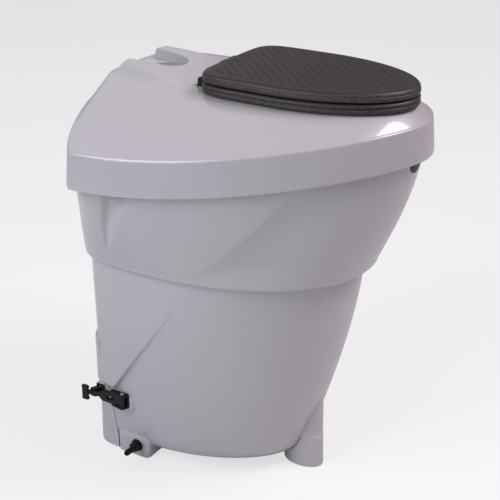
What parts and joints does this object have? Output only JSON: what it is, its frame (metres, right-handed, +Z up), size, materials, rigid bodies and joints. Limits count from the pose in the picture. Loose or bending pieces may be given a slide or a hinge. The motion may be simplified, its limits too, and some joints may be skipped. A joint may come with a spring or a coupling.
{
  "type": "composting toilet",
  "caption": "Free-standing composting toilet: tapered insulated tank, flared casing, domed cover with hinged foam seat and lid, latched rear emptying hatch, drain spout and vent saddle.",
  "frame": {"origin": "on the floor under the middle of the bounding box", "axes": "+Z up, front (nose) towards -Y, hatch and vent saddle towards +Y, drain spout on -X"},
  "size_m": [0.672, 0.676, 0.8624],
  "materials": {
    "shell_plastic": "satin grey rotational-moulded polyethylene with a fine orange-peel surface",
    "inner_plastic": "plain dark moulded plastic, slightly rough",
    "insulation_foam": "matt closed-cell foam",
    "seal_rubber": "matt black rubber",
    "strap_rubber": "black moulded rubber with a soft sheen",
    "seat_foam": "very dark brown moulded foam skin, dimpled top and beaded rim, satin gloss",
    "dark_plastic": "near-black moulded plastic, satin",
    "steel": "plain stainless steel"
  },
  "bodies": {
    "base": {"tank": "shell_plastic", "insulation": "insulation_foam", "liner": "inner_plastic", "port_frame": "inner_plastic", "upper_casing": "shell_plastic", "top_cover": "shell_plastic", "cover_gasket": "seal_rubber", "seat_chute": "inner_plastic", "vent_socket": "inner_plastic", "vent_seal": "seal_rubber", "socket_screws": "steel", "drain_grate": "inner_plastic", "drain_spout": "dark_plastic", "drain_nut": "dark_plastic", "drain_gasket": "seal_rubber", "front_foot": "shell_plastic", "rear_pads": "seal_rubber", "badge_plate": "dark_plastic", "casing_screws": "steel", "cover_screws": "steel", "hinge_blocks": "dark_plastic", "hinge_bolts": "dark_plastic", "hinge_wing_nuts": "dark_plastic", "hinge_pin": "dark_plastic", "latch_bases": "dark_plastic", "latch_pins": "steel", "latch_screws": "steel"},
    "seat": {"seat_ring": "seat_foam", "seat_buffers": "seal_rubber", "seat_arms": "dark_plastic"},
    "lid": {"seat_lid": "seat_foam", "lid_buffers": "seal_rubber", "lid_arms": "dark_plastic"},
    "hatch": {"hatch_shell": "shell_plastic", "hatch_insulation": "insulation_foam", "hatch_seal": "seal_rubber", "latch_keepers": "dark_plastic", "keeper_screws": "steel"},
    "latch_left": {"latch_strap_left": "strap_rubber"},
    "latch_right": {"latch_strap_right": "strap_rubber"}
  },
  "joints": [
    {"name": "seat_hinge", "type": "hinge", "parent": "base", "child": "seat", "pos_m": [0, 0.103, 0.8295], "axis": [-1, 0, 0], "range_deg": [0, 95]},
    {"name": "lid_hinge", "type": "hinge", "parent": "seat", "child": "lid", "pos_m": [0, 0.103, 0.8295], "axis": [1, 0, 0], "range_deg": [-95, 0]},
    {"name": "latch_left_swing", "type": "hinge", "parent": "base", "child": "latch_left", "pos_m": [-0.208, 0.229, 0.148], "axis": [0, 0, 1], "range_deg": [0, 100]},
    {"name": "latch_right_swing", "type": "hinge", "parent": "base", "child": "latch_right", "pos_m": [0.208, 0.229, 0.148], "axis": [0, 0, -1], "range_deg": [0, 100]},
    {"name": "hatch_slide", "type": "slide", "parent": "base", "child": "hatch", "axis": [0, 1, 0], "range_m": [0, 0.25]}
  ]
}
